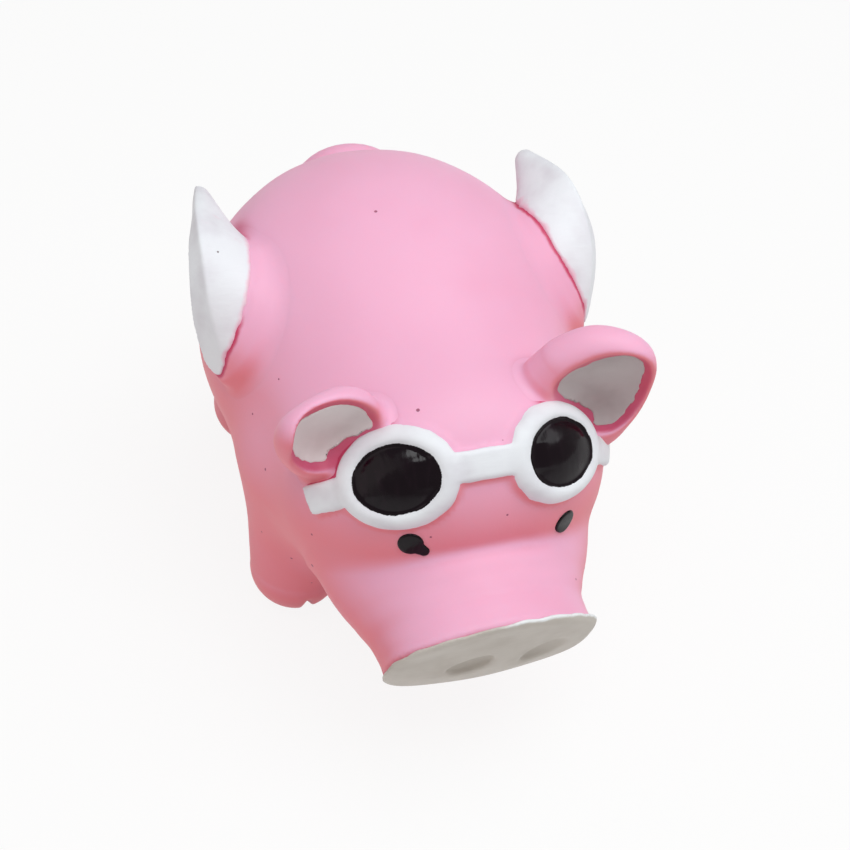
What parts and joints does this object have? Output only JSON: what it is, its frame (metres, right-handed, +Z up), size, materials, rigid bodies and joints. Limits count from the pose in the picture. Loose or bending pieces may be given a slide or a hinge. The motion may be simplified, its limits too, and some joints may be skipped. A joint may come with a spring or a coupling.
{
  "type": "latex dog toy",
  "caption": "Stuffed latex pig dog toy with white wings, moulded goggles, bendable ears and tail, and a squeaker in its belly.",
  "frame": {"origin": "on the ground under the middle of the toy's bounding box", "axes": "+Z up, the pig looks along -Y, its left side is +X"},
  "size_m": [0.0822, 0.13, 0.0791],
  "materials": {
    "pink_latex": "satin",
    "white_paint": "satin",
    "black_paint": "gloss",
    "fibre": "matte",
    "white_plastic": "satin",
    "amber_plastic": "gloss"
  },
  "bodies": {
    "pig": {"trunk_skin": "pink_latex", "head_skin": "pink_latex", "muzzle_skin": "pink_latex", "front_leg_left": "pink_latex", "front_leg_right": "pink_latex", "rear_leg_left": "pink_latex", "rear_leg_right": "pink_latex", "goggle_bridge": "white_paint", "goggle_rim_left": "white_paint", "goggle_rim_right": "white_paint", "goggle_strap_left": "white_paint", "goggle_strap_right": "white_paint", "nose_disc": "white_paint", "goggle_lens_left": "black_paint", "goggle_lens_right": "black_paint", "eye_left": "black_paint", "eye_right": "black_paint", "trunk_filling": "fibre", "head_filling": "fibre", "squeaker_barrel": "white_plastic", "squeaker_reed_block": "white_plastic", "squeaker_cap": "white_plastic"},
    "ear_left": {"ear_left": "pink_latex", "ear_lining_left": "white_paint"},
    "ear_right": {"ear_right": "pink_latex", "ear_lining_right": "white_paint"},
    "wing_left": {"wing_left": "white_paint"},
    "wing_right": {"wing_right": "white_paint"},
    "tail": {"tail": "pink_latex"},
    "reed": {"squeaker_reed": "amber_plastic"}
  },
  "joints": [
    {"name": "ear_left_flex", "type": "hinge", "parent": "pig", "child": "ear_left", "pos_m": [0.02082, -0.02994, 0.06307], "axis": [0.7566, 0.03, -0.6532], "range_deg": [-25, 12], "stiffness_Nm_per_rad": 0.03},
    {"name": "ear_right_flex", "type": "hinge", "parent": "pig", "child": "ear_right", "pos_m": [-0.02082, -0.02994, 0.06307], "axis": [0.7566, -0.03, 0.6532], "range_deg": [-25, 12], "stiffness_Nm_per_rad": 0.03},
    {"name": "wing_left_flex", "type": "hinge", "parent": "pig", "child": "wing_left", "pos_m": [0.03124, 0.00818, 0.06189], "axis": [-0.2457, 0.7869, 0.566], "range_deg": [-18, 18], "stiffness_Nm_per_rad": 0.02},
    {"name": "wing_right_flex", "type": "hinge", "parent": "pig", "child": "wing_right", "pos_m": [-0.03124, 0.00818, 0.06189], "axis": [-0.2457, -0.7869, -0.566], "range_deg": [-18, 18], "stiffness_Nm_per_rad": 0.02},
    {"name": "tail_wag", "type": "hinge", "parent": "pig", "child": "tail", "pos_m": [0.00577, 0.05505, 0.0374], "axis": [0.1646, 0.9404, -0.2976], "range_deg": [-15, 15], "stiffness_Nm_per_rad": 0.02},
    {"name": "reed_flex", "type": "hinge", "parent": "pig", "child": "reed", "pos_m": [0, 0.0173, 0.01865], "axis": [1, 0, 0], "range_deg": [-4, 4], "stiffness_Nm_per_rad": 0.00005}
  ]
}
